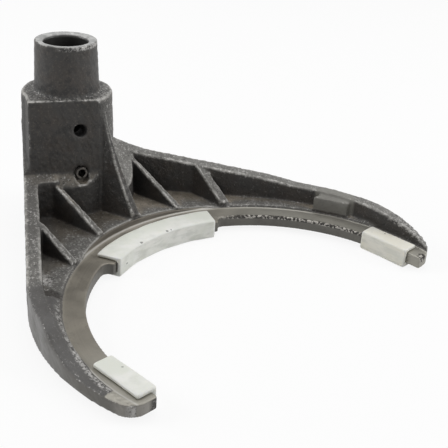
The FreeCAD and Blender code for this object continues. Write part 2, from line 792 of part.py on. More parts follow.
def make_centre_pad():
    """The curved pad on the middle lug."""
    body = new_body("centre_pad")
    sketch = new_sketch(body, "centre_section", "XZ_Plane", "-sizes.fork_offset")
    root = CENTRE_LUG + " - sizes.pad_clearance"
    inner = root + " - sizes.pad_wall"
    outer = "sizes.ring_outer_radius - sizes.centre_pad_gap"
    outline_wire(sketch, pad_section(inner, outer, root, -1, "sizes.ring_distance"))
    axis = upright_axis(sketch, "sizes.ring_distance")
    add_turned(body, sketch, axis, False, "2 * sizes.centre_pad_half_angle", both=True)
    return body


def make_tip_pad(label, sign):
    """The straight pad on the lug of one arm."""
    body = new_body(label)
    sketch = new_sketch(body, label + "_section", "YZ_Plane", "sizes.tip_pad_start")
    root = TIP_LUG + " - sizes.pad_clearance"
    inner = root + " - sizes.pad_wall"
    outer = "sizes.ring_outer_radius - sizes.tip_pad_gap"
    outline_wire(sketch, pad_section(inner, outer, root, sign, "sizes.fork_offset"))
    add_pad(body, sketch, "sizes.tip_pad_length")
    return body


def make_spring_pin():
    """The hollow pin, drawn lying along X and then turned to the flat's cross hole."""
    body = new_body("spring_pin")
    outer_end = "%s + sizes.pin_proud" % PIN_MOUTH
    sketch = new_sketch(body, "pin_section", "YZ_Plane", outer_end + " - sizes.pin_length")
    circle(sketch, ("0", "0"), PIN_RADIUS)
    circle(sketch, ("0", "0"), PIN_RADIUS + " - sizes.pin_wall")
    add_pad(body, sketch, "sizes.pin_length")
    sketch = new_sketch(body, "pin_slot", "YZ_Plane", outer_end)
    outline_wire(sketch, [
        ("-sizes.pin_slot / 2", "0"),
        ("sizes.pin_slot / 2", "0"),
        ("sizes.pin_slot / 2", "-sizes.cross_hole_radius - 1"),
        ("-sizes.pin_slot / 2", "-sizes.cross_hole_radius - 1"),
    ])
    add_pocket(body, sketch)
    body.Placement.Rotation = FreeCAD.Rotation(FreeCAD.Vector(0, 0, 1), value("sizes.cross_hole_turn"))
    body.setExpression(".Placement.Rotation.Angle", degrees("sizes.cross_hole_turn"))
    body.setExpression(".Placement.Base.z", "sizes.lower_hole_height")
    return body


def check_and_export(bodies):
    """Stops on a failed object or a bad solid, then writes one file for each piece."""
    doc.recompute()
    for item in doc.Objects:
        if "Invalid" in item.State or "Error" in item.State:
            raise ValueError("%s failed: %s" % (item.Name, item.State))
    for body in bodies:
        if body.Shape.isNull() or not body.Shape.isValid() or len(body.Shape.Solids) != 1:
            raise ValueError("%s is not one valid solid" % body.Label)
    os.makedirs("parts", exist_ok=True)
    for body in bodies:
        body.Shape.exportStep("parts/%s.step" % body.Label)
        print(body.Label, round(body.Shape.Volume, 1), body.Shape.BoundBox)


pieces = [
    make_casting(),
    make_centre_pad(),
    make_tip_pad("near_tip_pad", -1),
    make_tip_pad("far_tip_pad", 1),
    make_spring_pin(),
]
check_and_export(pieces)
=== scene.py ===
import math

import bmesh
import bpy
import numpy as np
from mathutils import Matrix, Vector
from mathutils.bvhtree import BVHTree


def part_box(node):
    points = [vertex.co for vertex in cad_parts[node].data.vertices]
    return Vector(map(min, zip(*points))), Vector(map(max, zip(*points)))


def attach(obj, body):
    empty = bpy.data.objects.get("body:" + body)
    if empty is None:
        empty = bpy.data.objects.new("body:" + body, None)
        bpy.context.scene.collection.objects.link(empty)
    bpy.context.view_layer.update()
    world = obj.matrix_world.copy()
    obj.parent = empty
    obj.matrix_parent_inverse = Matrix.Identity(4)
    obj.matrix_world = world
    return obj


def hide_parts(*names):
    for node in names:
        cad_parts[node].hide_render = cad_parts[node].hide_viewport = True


bl_info = {
    "name": "Transfer Case Shift Fork",
    "version": (1, 0, 0),
    "blender": (4, 5, 0),
    "location": "3D View > Sidebar > Shift Fork",
    "description": "Dresses a cast shift fork with its wear pads and spring pin, and sets its stage",
    "category": "Object",
}

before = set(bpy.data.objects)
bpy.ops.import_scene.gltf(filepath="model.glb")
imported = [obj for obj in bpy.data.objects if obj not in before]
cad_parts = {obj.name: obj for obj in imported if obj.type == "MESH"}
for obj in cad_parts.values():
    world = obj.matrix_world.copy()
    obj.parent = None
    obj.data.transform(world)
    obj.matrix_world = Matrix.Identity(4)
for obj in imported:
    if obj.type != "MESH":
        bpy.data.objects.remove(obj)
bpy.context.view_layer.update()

# All lengths are in metres. The rail bore stands on the origin. The sleeve's ring and the
# crescent cut outside it turn about these points, and their walls lie this far out.
RING_X = 0.1029
RING_Y = 0.007
RING_WALL = 0.0698
CRESCENT_X = 0.0799
CRESCENT_WALL = 0.0501
RING_INNER = 0.0632
BORE_RADIUS = 0.0080
NECK_WALL = 0.0124
HOLE_WALL = 0.00242

# Heights on the casting, from the foot and the plate's cut faces up to the neck's rim.
FOOT_HIGH = 0.0017
PLATE_LOW = 0.0056
PLATE_HIGH = 0.0062
CRESCENT_HIGH = 0.0067
LEDGE_HIGH = 0.0240
SHOULDER = 0.0505
NECK_TOP = 0.0703
CROSS_HOLES = (0.0400, 0.0236)

# Level directions: square out of the hub's flat, to the left along it, across its holes,
# out of the low block on the far arm, and out of the far tip's side.
FLAT_OUT = (0.81, -0.587, 0.0)
FLAT_LEFT = (-0.5, -0.866, 0.0)
HOLES_ACROSS = (0.2924, 0.9563, 0.0)
BLOCK_OUT = (-0.405, 0.915, 0.0)
TIP_OUT = (-0.05, 1.0, 0.0)

# Both tips are cut bare beyond these distances from the rail, and the rough lip of the far
# arm falls towards its tip from here, by this slope.
NEAR_TIP_CUT = 0.1045
FAR_TIP_CUT = 0.1105
FAR_LIP_START = 0.094
FAR_LIP_SLOPE = 0.22

# The low block, a patch of rough beads and a dark pit on the near arm, and the chip at
# the far tip. The lips are rough, and the pit and the chip sunk, by these amounts.
BLOCK_X = 0.0745
BLOCK_Y = 0.0712
CLUSTER = (0.0455, -0.0445, 0.0075)
PIT = (0.0545, -0.0474, 0.0075)
PIT_STRETCH = (1.0, 1.9, 1.0)
CHIP = (0.1172, 0.0712, 0.0058)
LIP_ROUGHNESS = 0.00014
DENT_DEPTH = 0.00035
DENT_ROUGHNESS = 0.00012

# How round the pin's edges are and how far the pads' faces swell, and how many triangles
# the casting's skin keeps, which is fewer than its STL file may hold.
PIN_ROUNDING = 0.00012
PAD_SWELL = 0.00005
MOST_TRIANGLES = 190000

# Colours of single places on the casting, each a pair where two tones lie in patches.
# The far ridge's tones are painted light: its upper faces lighter as if lit from above, in patches.
RIDGE_LIT_TONES = ((0.215, 0.210, 0.195), (0.135, 0.131, 0.120))
# The near arm's side tones are painted light, lighter as if lit from the left.
SIDE_LIT_TONES = ((0.19, 0.186, 0.18), (0.10, 0.096, 0.090))
OLIVE_TONES = ((0.135, 0.130, 0.113), (0.100, 0.094, 0.082))
NECK_TONES = ((0.44, 0.44, 0.43), (0.29, 0.29, 0.285))
TORN_TONES = ((0.025, 0.022, 0.018), (0.46, 0.44, 0.40))
LEDGE_BROWN = (0.130, 0.112, 0.086)
ROOT_GREY = (0.066, 0.062, 0.057)
# The near arm's top colour is painted shade.
ARM_TOP_SHADE = (0.047, 0.044, 0.042)
# The side's end and tip colours belong to the same painted light, lighter towards the tip.
SIDE_END = (0.120, 0.114, 0.100)
TIP_END = (0.300, 0.286, 0.258)
BLOCK_GREY = (0.30, 0.295, 0.265)
HUB_BROWN = (0.085, 0.073, 0.060)
PIT_BLACK = (0.017, 0.013, 0.010)
# The cross holes' colour is painted shade inside them.
HOLE_SHADE = (0.008, 0.0075, 0.007)

# Colours of single places on the bare metal.
METAL_STAIN = (0.10, 0.088, 0.070)
METAL_SHINE = (0.36, 0.34, 0.30)
METAL_PALE = (0.31, 0.30, 0.265)
CRESCENT_BROWN = (0.075, 0.064, 0.050)
# The bore's colour is painted shade inside the bore.
BORE_SHADE = (0.022, 0.021, 0.020)

# Colours of single places on the pads, and the small dark handling marks on them:
# where each mark lies, and its size.
PAD_GRIME = (0.42, 0.40, 0.33)
PAD_AGED = (0.78, 0.75, 0.65)
# The pads' front colour is painted shade on their upright faces.
PAD_FRONT_SHADE = (0.56, 0.57, 0.52)
# The pads' edge colour is a painted highlight.
PAD_EDGE_HIGHLIGHT = (0.86, 0.86, 0.83)
PAD_MARK = (0.10, 0.095, 0.085)
PAD_MARKS = (
    ((0.04652, -0.00265, 0.0074), 0.00050),
    ((0.04563, 0.01024, 0.0074), 0.00045),
    ((0.04573, 0.01215, 0.0074), 0.00035),
    ((0.04963, -0.01218, 0.0036), 0.00060),
    ((0.09544, 0.06977, 0.0075), 0.00030),
    ((0.09937, 0.07270, 0.0075), 0.00030),
    ((0.09937, -0.05536, 0.0075), 0.00028),
)

# The lamps look at the middle of the fork. Each has its place, width and power.
FORK_MIDDLE = (0.05, 0.01, 0.02)
LAMPS = {
    "top_softbox": ((-0.10, 0.15, 0.92), 0.75, 3.5),
    "left_softbox": ((-0.50, -0.56, 0.45), 0.50, 3.6),
    "right_softbox": ((0.60, 0.56, 0.45), 0.50, 3.3),
}
WHITE = (1.0, 1.0, 1.0, 1.0)


# Small tools for node trees.


class Tree:
    """A node tree, with one short call for each kind of node that is used here."""

    def __init__(self, owner, output):
        owner.use_nodes = True
        self.tree = owner.node_tree
        self.tree.nodes.clear()
        self.output = self.tree.nodes.new(output)

    def feed(self, socket, value):
        """Links an input to another node, or sets its value."""
        if isinstance(value, bpy.types.NodeSocket):
            self.tree.links.new(value, socket)
        else:
            socket.default_value = value

    def add(self, kind, values=None, **settings):
        """A node with its settings, and its inputs fed by name or number."""
        made = self.tree.nodes.new(kind)
        for key, setting in settings.items():
            setattr(made, key, setting)
        for key, value in (values or {}).items():
            self.feed(made.inputs[key], value)
        return made

    def show(self, shader):
        """Makes a shader the one that is seen."""
        self.tree.links.new(shader, self.output.inputs["Surface"])

    def math(self, operation, first, second=0.0, clamp=False):
        """One sum with plain numbers."""
        values = {0: first, 1: second}
        return self.add("ShaderNodeMath", values, operation=operation, use_clamp=clamp).outputs[0]

    def plus(self, first, *others):
        """All the values added up."""
        for other in others:
            first = self.math("ADD", first, other)
        return first

    def all_of(self, first, *others):
        """High only where every share is high."""
        for other in others:
            first = self.math("MULTIPLY", first, other)
        return first

    def any_of(self, first, *others):
        """High where at least one share is high."""
        for other in others:
            first = self.math("MAXIMUM", first, other)
        return first

    def rest(self, share):
        """What a share leaves of the whole."""
        return self.math("SUBTRACT", 1.0, share)

    def step(self, value, low, high, start=0.0, end=1.0):
        """Rises smoothly from start to end as the value goes from low to high."""
        values = {0: value, 1: low, 2: high, 3: start, 4: end}
        return self.add("ShaderNodeMapRange", values, interpolation_type="SMOOTHSTEP").outputs[0]

    def above(self, value, level, soft):
        """1 above a level and 0 below it, with a soft change between."""
        return self.step(value, level - soft, level + soft)

    def below(self, value, level, soft):
        """0 above a level and 1 below it, with a soft change between."""
        return self.step(value, level - soft, level + soft, 1.0, 0.0)

    def near(self, value, level, width, soft):
        """1 in a band on both sides of a level, and 0 elsewhere."""
        away = self.math("ABSOLUTE", self.math("SUBTRACT", value, level))
        return self.below(away, width, soft)

    def parts(self, vector):
        """The x, y and z of a vector."""
        return self.add("ShaderNodeSeparateXYZ", {0: vector}).outputs

    def joined(self, first, second):
        """A level vector of two numbers."""
        return self.add("ShaderNodeCombineXYZ", {0: first, 1: second}).outputs[0]

    def length(self, vector):
        """The length of a vector."""
        return self.add("ShaderNodeVectorMath", {0: vector}, operation="LENGTH").outputs["Value"]

    def dot(self, first, second):
        """How far one vector reaches along another."""
        values = {0: first, 1: second}
        return self.add("ShaderNodeVectorMath", values, operation="DOT_PRODUCT").outputs["Value"]

    def vector(self, operation, first, second):
        """One sum with vectors."""
        return self.add("ShaderNodeVectorMath", {0: first, 1: second}, operation=operation).outputs[0]

    def mix(self, share, first, second):
        """Mixes two colours."""
        made = self.add("ShaderNodeMix", {"Factor": share}, data_type="RGBA")
        for number, colour in ((6, first), (7, second)):
            if not isinstance(colour, bpy.types.NodeSocket):
                colour = (*colour[:3], 1.0)
            self.feed(made.inputs[number], colour)
        return made.outputs[2]

    def coat(self, under, colour, *shares):
        """Lays a colour over another where all the shares are high."""
        return self.mix(self.all_of(*shares), under, colour)

    def blend(self, share, first, second):
        """Mixes two plain numbers."""
        values = {0: share, 2: first, 3: second}
        return self.add("ShaderNodeMix", values, data_type="FLOAT").outputs[0]

    def mixed_shader(self, share, first, second):
        """Mixes two shaders."""
        return self.add("ShaderNodeMixShader", {0: share, 1: first, 2: second}).outputs[0]

    def seen_ray(self):
        """1 for rays that show a surface or the background, and 0 for rays that light the fork."""
        rays = self.add("ShaderNodeLightPath").outputs
        return self.any_of(rays["Is Camera Ray"], rays["Is Glossy Ray"], rays["Is Transmission Ray"])


class MaterialTree(Tree):
    """The nodes of a piece's material, which reads places on the piece."""

    def __init__(self, name):
        self.material = bpy.data.materials.new(name)
        super().__init__(self.material, "ShaderNodeOutputMaterial")
        self.place = self.add("ShaderNodeTexCoord").outputs["Object"]

    def attribute(self, name):
        """A number that the mesh holds at each point."""
        return self.add("ShaderNodeAttribute", attribute_name=name).outputs["Fac"]

    def normal(self):
        """The way the surface faces."""
        return self.add("ShaderNodeNewGeometry").outputs["Normal"]

    def from_point(self, point, stretch=(1.0, 1.0, 1.0)):
        """Distance from a point, with each direction stretched by its own amount."""
        return self.length(self.vector("MULTIPLY", self.vector("SUBTRACT", self.place, point), stretch))

    def from_axis(self, x, y):
        """Distance from an upright axis."""
        return self.from_point((x, y, 0.0), (1.0, 1.0, 0.0))

    def noise_in(self, place, scale, detail, roughness, distortion=0.0):
        """Soft unevenness that follows some vector."""
        values = {
            "Vector": place,
            "Scale": scale,
            "Detail": detail,
            "Roughness": roughness,
            "Distortion": distortion,
        }
        return self.add("ShaderNodeTexNoise", values).outputs["Fac"]

    def noise(self, scale, detail, roughness, distortion=0.0):
        """Soft unevenness that follows the place on the piece."""
        return self.noise_in(self.place, scale, detail, roughness, distortion)

    def bump(self, height, distance, strength):
        """Fine relief that is too small for the mesh."""
        values = {"Height": height, "Distance": distance, "Strength": strength}
        return self.add("ShaderNodeBump", values).outputs["Normal"]

    def finish(self, values):
        """The material, with the shader that everything above feeds."""
        self.show(self.add("ShaderNodeBsdfPrincipled", values).outputs[0])
        return self.material


def shade(colour, amount):
    """A colour made darker or lighter, by one amount or by one for each channel."""
    return tuple(float(part) for part in np.multiply(tuple(colour), amount))


# Sizes and colours that a user would change.


class CastingFinish(bpy.types.PropertyGroup):
    """How the casting looks."""

    skin_step: bpy.props.FloatProperty(
        name="Skin step", description="Grid size of the cast skin", unit="LENGTH", precision=5,
        default=0.00042,
    )
    waviness: bpy.props.FloatProperty(
        name="Waviness", description="Height of the uneven sand-cast surface", unit="LENGTH", precision=5,
        default=0.00010,
    )
    skin: bpy.props.FloatVectorProperty(
        name="Skin", description="Colour of the cast skin", subtype="COLOR",
        default=(0.030, 0.028, 0.026),
    )
    # The pocket colour is the scale in pits, and where little sky is seen it is also painted shade.
    deep: bpy.props.FloatVectorProperty(
        name="Pockets", description="Colour of the scale in pockets and pits", subtype="COLOR",
        default=(0.010, 0.0095, 0.009),
    )
    brown: bpy.props.FloatVectorProperty(
        name="Brown film", description="Colour of the thin brown film", subtype="COLOR",
        default=(0.042, 0.033, 0.026),
    )
    # The dust colour is dust, and on the upper faces it is also painted light, lighter as if lit from
    # above.
    dust: bpy.props.FloatVectorProperty(
        name="Dust", description="Colour of the dull upper faces", subtype="COLOR",
        default=(0.130, 0.126, 0.116),
    )
    floor: bpy.props.FloatVectorProperty(
        name="Pocket floors", description="Colour of the brown floors between the ribs", subtype="COLOR",
        default=(0.240, 0.208, 0.163),
    )
    # The worn edge colour is partly wear and partly painted highlight, and it also paints highlight lines
    # along the cuts.
    worn_and_highlight: bpy.props.FloatVectorProperty(
        name="Worn edge", description="Colour of the rubbed edges", subtype="COLOR",
        default=(0.40, 0.390, 0.365),
    )
    bright: bpy.props.FloatVectorProperty(
        name="Bright grain", description="Colour of the blasted grain", subtype="COLOR",
        default=(0.40, 0.39, 0.375),
    )
    machined: bpy.props.FloatVectorProperty(
        name="Machined face", description="Colour of the faces that were turned or milled",
        subtype="COLOR", default=(0.205, 0.188, 0.155),
    )


class PadFinish(bpy.types.PropertyGroup):
    """How the wear pads look."""

    skin_step: bpy.props.FloatProperty(
        name="Skin step", description="Grid size of the moulded skin", unit="LENGTH", precision=5,
        default=0.00032,
    )
    colour: bpy.props.FloatVectorProperty(
        name="Colour", description="Colour of the moulded pads", subtype="COLOR",
        default=(0.84, 0.84, 0.80),
    )
    grey: bpy.props.FloatVectorProperty(
        name="Rubbed grey", description="Colour of the streaks on the pads", subtype="COLOR",
        default=(0.64, 0.65, 0.60),
    )


class PinFinish(bpy.types.PropertyGroup):
    """How the spring pin looks."""

    colour: bpy.props.FloatVectorProperty(
        name="Colour", description="Colour of the pin's steel", subtype="COLOR",
        default=(0.13, 0.12, 0.11),
    )


class StageSetup(bpy.types.PropertyGroup):
    """The floor and the camera."""

    floor_size: bpy.props.FloatProperty(
        name="Floor", description="Width of the floor", default=8.0, unit="LENGTH"
    )
    focal_length: bpy.props.FloatProperty(
        name="Lens", description="Focal length of the camera in millimetres", default=70.44, unit="CAMERA"
    )
    camera_place: bpy.props.FloatVectorProperty(
        name="Camera", description="Where the camera stands", subtype="TRANSLATION", unit="LENGTH",
        default=(0.25578, -0.18566, 0.15785),
    )
    camera_turn: bpy.props.FloatVectorProperty(
        name="Camera turn", description="The camera's three angles", subtype="EULER", unit="ROTATION",
        default=(math.radians(62.949), math.radians(-3.311), math.radians(44.541)),
    )


# Materials.


class CastingPlaces:
    """Where on the casting a point lies: distances, and a share from 0 to 1 for each place."""

    def __init__(self, t):
        self.x, self.y, self.z = t.parts(t.place)
        self.ring = t.from_axis(RING_X, RING_Y)
        self.crescent = t.from_axis(CRESCENT_X, RING_Y)
        self.bore = t.from_axis(0.0, 0.0)
        self.normal = t.normal()
        self.up = t.step(t.parts(self.normal)[2], 0.25, 0.95)
        self.edge = t.attribute("edge")
        self.sky = t.attribute("sky")
        self.blotches = t.noise(95.0, 4.0, 0.55)
        self.patches = t.noise(330.0, 3.0, 0.6)
        self.grain = t.noise(1350.0, 3.0, 0.65)
        self.pits = t.step(t.noise(1000.0, 1.0, 0.5), 0.61, 0.70)
        self.wobble = t.all_of(t.plus(t.noise(420.0, 3.0, 0.6), -0.5), 0.003)
        self.near_arm = t.all_of(t.below(self.y, -0.040, 0.008), t.above(self.x, 0.056, 0.003))
        self.find_bare_faces(t)
        self.find_rough_places(t)
        self.find_hub_places(t)
        self.find_arm_places(t)

        # Even places have little grain, and where the near arm joins the hub there is less of it.
        self.even = t.any_of(self.flat, self.neck, self.arm_top, self.arm_side, self.band, self.block)
        self.uneven = t.all_of(t.rest(t.all_of(self.even, 0.80)), t.rest(t.all_of(self.near_root, 0.35)))

    def find_bare_faces(self, t):
        """The faces that were turned, milled or sawn, and the painted highlight lines along them."""
        on_plate = t.all_of(t.above(self.z, PLATE_LOW, 0.0002), t.below(self.z, PLATE_HIGH, 0.0001))
        in_ring = t.all_of(on_plate, t.below(self.ring, RING_WALL, 0.0001))
        in_crescent = t.all_of(
            t.above(self.z, PLATE_LOW, 0.0002),
            t.below(self.z, CRESCENT_HIGH, 0.0001),
            t.below(self.crescent, CRESCENT_WALL, 0.0001),
        )
        past_tip = t.above(t.plus(self.x, self.wobble), NEAR_TIP_CUT, 0.0004)
        sawn = t.all_of(
            t.above(self.x, FAR_TIP_CUT, 0.0006),
            t.above(self.y, 0.050, 0.001),
            t.below(self.z, PLATE_HIGH, 0.0002),
            t.below(t.dot(self.normal, TIP_OUT), 0.55, 0.10),
        )
        plate = t.any_of(in_ring, in_crescent, t.all_of(on_plate, past_tip, self.near_arm), sawn)
        self.clearance = t.all_of(in_crescent, t.above(self.ring, RING_WALL + 0.0004, 0.0001))
        self.end = t.all_of(t.above(self.x, 0.092, 0.016), plate)
        # Painted highlight: a bright line along the ring wall's edge.
        ring_highlight = t.near(self.ring, RING_WALL - 0.0002, 0.0003, 0.0002)
        self.ring_highlight = t.all_of(ring_highlight, t.any_of(in_ring, in_crescent))
        # Painted highlight: a bright line along the crescent cut's edge.
        cut_highlight = t.near(self.crescent, CRESCENT_WALL + 0.0003, 0.0003, 0.0002)
        self.cut_highlight = t.all_of(
            cut_highlight, t.below(self.x, 0.055, 0.006), t.below(self.z, CRESCENT_HIGH + 0.0007, 0.0002)
        )
        rim = t.below(t.plus(self.bore, t.all_of(self.wobble, 0.7)), 0.0108, 0.00015)
        self.neck_top = t.all_of(t.above(self.z, NECK_TOP - 0.0009, 0.0002), rim)
        self.in_bore = t.below(self.bore, BORE_RADIUS + 0.0003, 0.0002)
        self.bare = t.any_of(plate, self.neck_top, self.in_bore)
        self.cast = t.rest(self.bare)

    def find_rough_places(self, t):
        """The rough lips beside the cuts, the beads, the pit, the torn edge and the chip."""
        beside_ring = t.all_of(
            t.above(self.ring, RING_WALL + 0.0001, 0.0002), t.below(self.ring, RING_WALL + 0.0016, 0.0008)
        )
        self.near_lip = t.all_of(beside_ring, self.near_arm, t.above(self.x, 0.062, 0.006), self.cast)
        falling = t.plus(self.z, t.all_of(t.plus(self.x, -FAR_LIP_START), FAR_LIP_SLOPE))
        far_lip = t.all_of(
            t.above(self.x, 0.098, 0.004), t.above(self.y, 0.060, 0.004), t.above(falling, 0.0122, 0.0008)
        )
        cluster = t.below(t.plus(t.from_point(CLUSTER), self.wobble), 0.0036, 0.0010)
        rim = t.all_of(
            t.above(self.z, NECK_TOP - 0.0014, 0.0004),
            t.above(self.bore, 0.0104, 0.0003),
            t.step(t.plus(self.x, self.y), -0.006, 0.012),
        )
        others = t.any_of(t.all_of(far_lip, 0.75), cluster, rim)
        self.lip = t.any_of(self.near_lip, t.all_of(others, self.cast))
        from_pit = t.plus(t.from_point(PIT, PIT_STRETCH), t.all_of(self.wobble, 1.6))
        self.pit = t.all_of(t.below(from_pit, 0.0046, 0.0009), self.cast)
        torn = t.below(t.plus(self.ring, t.all_of(self.wobble, 0.5)), RING_INNER - 0.0003, 0.0004)
        torn = t.all_of(torn, t.above(self.z, 0.0049, 0.0003), t.above(self.y, 0.038, 0.006))
        chip = t.below(t.plus(t.from_point(CHIP), self.wobble), 0.0018, 0.0003)
        self.broken_off = t.any_of(torn, chip)

    def find_hub_places(self, t):
        """The flat, the corners, the ledge, the holes and the neck of the hub."""
        facing = t.dot(self.normal, FLAT_OUT)
        to_left = t.dot(t.place, FLAT_LEFT)
        self.flat = t.all_of(t.above(facing, 0.88, 0.06), t.below(self.bore, 0.0215, 0.0015))
        left_corner = t.all_of(
            t.above(to_left, 0.0070, 0.0015),
            t.below(self.bore, 0.0225, 0.0012),
            t.above(facing, 0.15, 0.15),
        )
        right_corner = t.all_of(
            t.below(to_left, 0.0, 0.0015),
            t.below(self.bore, 0.0185, 0.0010),
            t.above(facing, 0.55, 0.15),
        )
        self.corner = t.all_of(
            t.above(self.z, LEDGE_HIGH, 0.0015),
            t.below(self.z, SHOULDER - 0.0005, 0.0006),
            t.below(facing, 0.94, 0.04),
            t.any_of(left_corner, right_corner),
        )
        self.ledge = t.all_of(
            self.up,
            t.above(facing, -0.20, 0.20),
            t.below(self.bore, 0.0235, 0.0010),
            t.above(self.z, 0.0150, 0.0010),
            t.below(self.z, LEDGE_HIGH + 0.0003, 0.0004),
            t.below(self.y, 0.0060, 0.0015),
        )
        across = t.dot(t.place, HOLES_ACROSS)
        holes = [
            t.below(t.length(t.joined(across, t.plus(self.z, -height))), HOLE_WALL, 0.00008)
            for height in CROSS_HOLES
        ]
        self.cross_hole = t.all_of(t.any_of(*holes), self.cast)
        self.near_root = t.all_of(
            self.up,
            t.above(to_left, 0.0085, 0.0020),
            t.below(self.z, LEDGE_HIGH - 0.0002, 0.0010),
            t.below(self.x, 0.038, 0.006),
        )
        self.shoulder_left = t.all_of(
            self.up,
            t.above(self.z, SHOULDER, 0.0005),
            t.step(to_left, 0.0, 0.0120),
            t.above(self.bore, NECK_WALL - 0.0002, 0.0004),
        )
        self.neck = t.all_of(
            t.below(self.bore, NECK_WALL, 0.0003), t.above(self.z, SHOULDER + 0.0045, 0.0015)
        )
        self.neck_foot = t.all_of(
            t.above(self.z, SHOULDER, 0.0005),
            t.below(self.z, SHOULDER + 0.0060, 0.0015),
            t.below(self.bore, 0.0150, 0.0007),
        )
        self.hub_side = t.all_of(
            t.above(self.y, 0.0020, 0.0020),
            t.above(self.z, LEDGE_HIGH, 0.0040),
            t.above(self.bore, 0.0135, 0.0005),
            t.below(self.bore, 0.0190, 0.0010),
            t.rest(self.flat),
        )

    def find_arm_places(self, t):
        """The far ridge, the near arm's top and side, the inner wall and the low block."""
        self.far_ridge = t.all_of(
            self.up,
            t.above(self.y, 0.0110, 0.0030),
            t.above(self.z, 0.0118, 0.0010),
            t.above(self.bore, 0.0170, 0.0010),
        )
        self.arm = t.all_of(self.near_arm, t.rest(self.near_lip))
        self.arm_top = t.all_of(self.arm, self.up, self.cast)
        self.arm_side = t.all_of(
            self.near_arm, t.rest(self.up), self.cast, t.above(self.ring, RING_INNER + 0.0023, 0.001)
        )
        self.band = t.all_of(t.below(self.ring, RING_INNER, 0.0004), self.cast)
        self.block = t.all_of(
            t.below(t.from_axis(BLOCK_X, BLOCK_Y), 0.0085, 0.0006),
            t.above(self.z, 0.0076, 0.0005),
            self.cast,
            t.below(t.dot(self.normal, BLOCK_OUT), 0.40, 0.10),
        )


def blasted_grain(t, at):
    """Where the blasting left bright grain: on edges, upper faces and rough lips."""
    reach = t.all_of(
        t.step(at.sky, 0.0, 0.6, 0.45, 1.0),
        t.step(at.patches, 0.34, 0.62, 0.20, 1.0),
        at.uneven,
        t.rest(t.all_of(at.corner, 0.85)),
    )
    share = t.plus(
        t.all_of(at.up, 0.44), t.all_of(at.edge, 0.75), t.all_of(at.sky, 0.12), t.all_of(at.hub_side, 0.35)
    )
    rim = t.all_of(
        at.edge, t.step(at.patches, 0.44, 0.58), t.step(at.sky, 0.2, 0.6), t.rest(at.arm), at.uneven, 0.60
    )
    share = t.any_of(t.all_of(share, reach), t.all_of(at.lip, 0.95), rim)
    grain = t.step(t.plus(at.grain, t.all_of(share, 0.13)), 0.57, 0.70)
    return t.all_of(grain, t.step(share, 0.02, 0.25))


